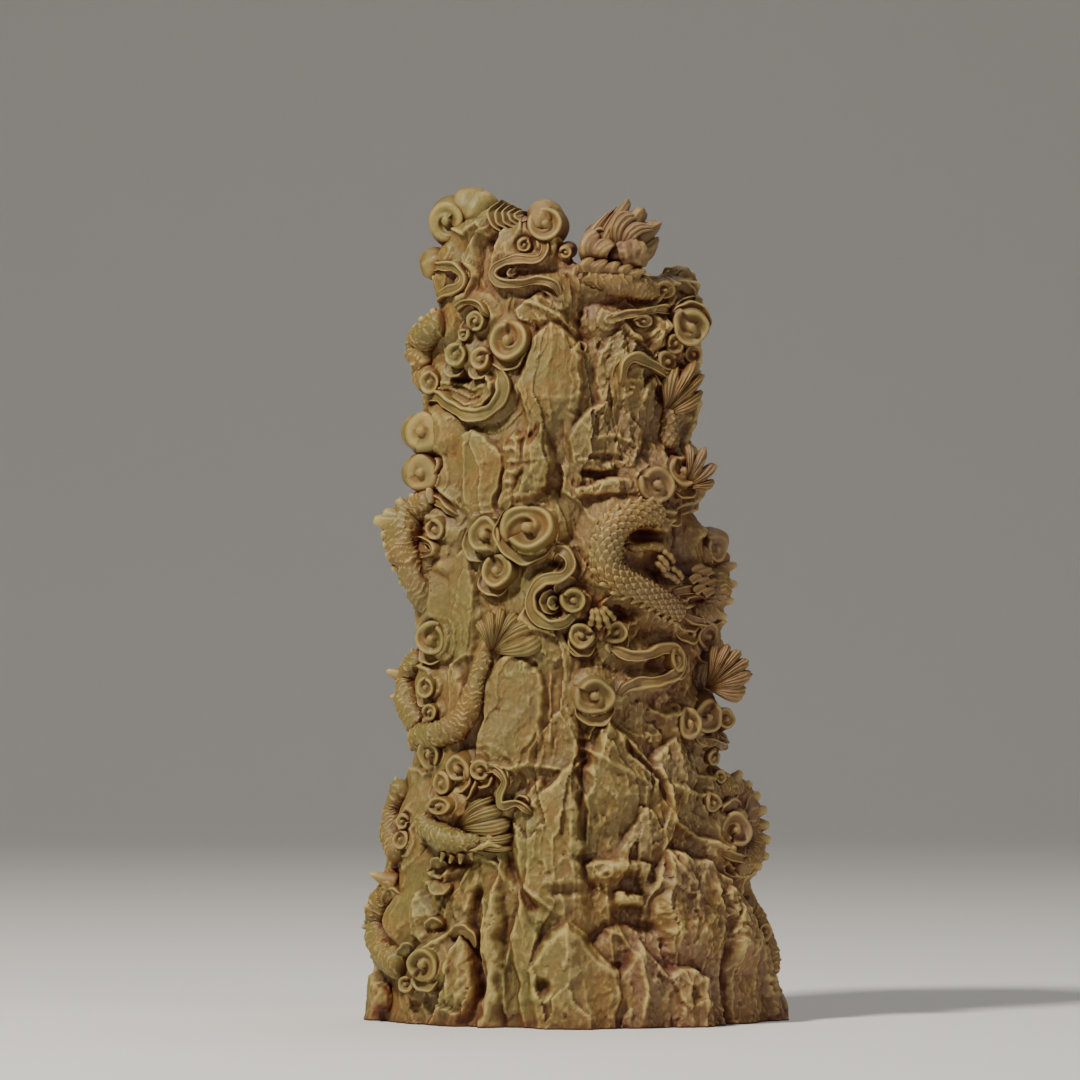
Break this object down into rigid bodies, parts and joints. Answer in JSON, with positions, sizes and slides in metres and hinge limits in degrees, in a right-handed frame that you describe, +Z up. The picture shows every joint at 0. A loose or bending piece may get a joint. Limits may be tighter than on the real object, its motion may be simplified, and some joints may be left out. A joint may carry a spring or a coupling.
{
  "type": "carved boxwood rock pinnacle with dragons and clouds",
  "caption": "Boxwood carving of a rock pinnacle wrapped by scaled dragons among scrolled clouds, standing on its own flat foot.",
  "frame": {"origin": "middle of the flat underside, on the surface that the carving stands on", "axes": "+Z up the pinnacle, -Y out of the carved face with the scrolls and dragons, +X to the right of that face"},
  "size_m": [0.1085, 0.0885, 0.2109],
  "materials": {
    "boxwood": "hand carved, rubbed and lightly waxed"
  },
  "bodies": {
    "root": {"carving": "boxwood"}
  },
  "joints": []
}
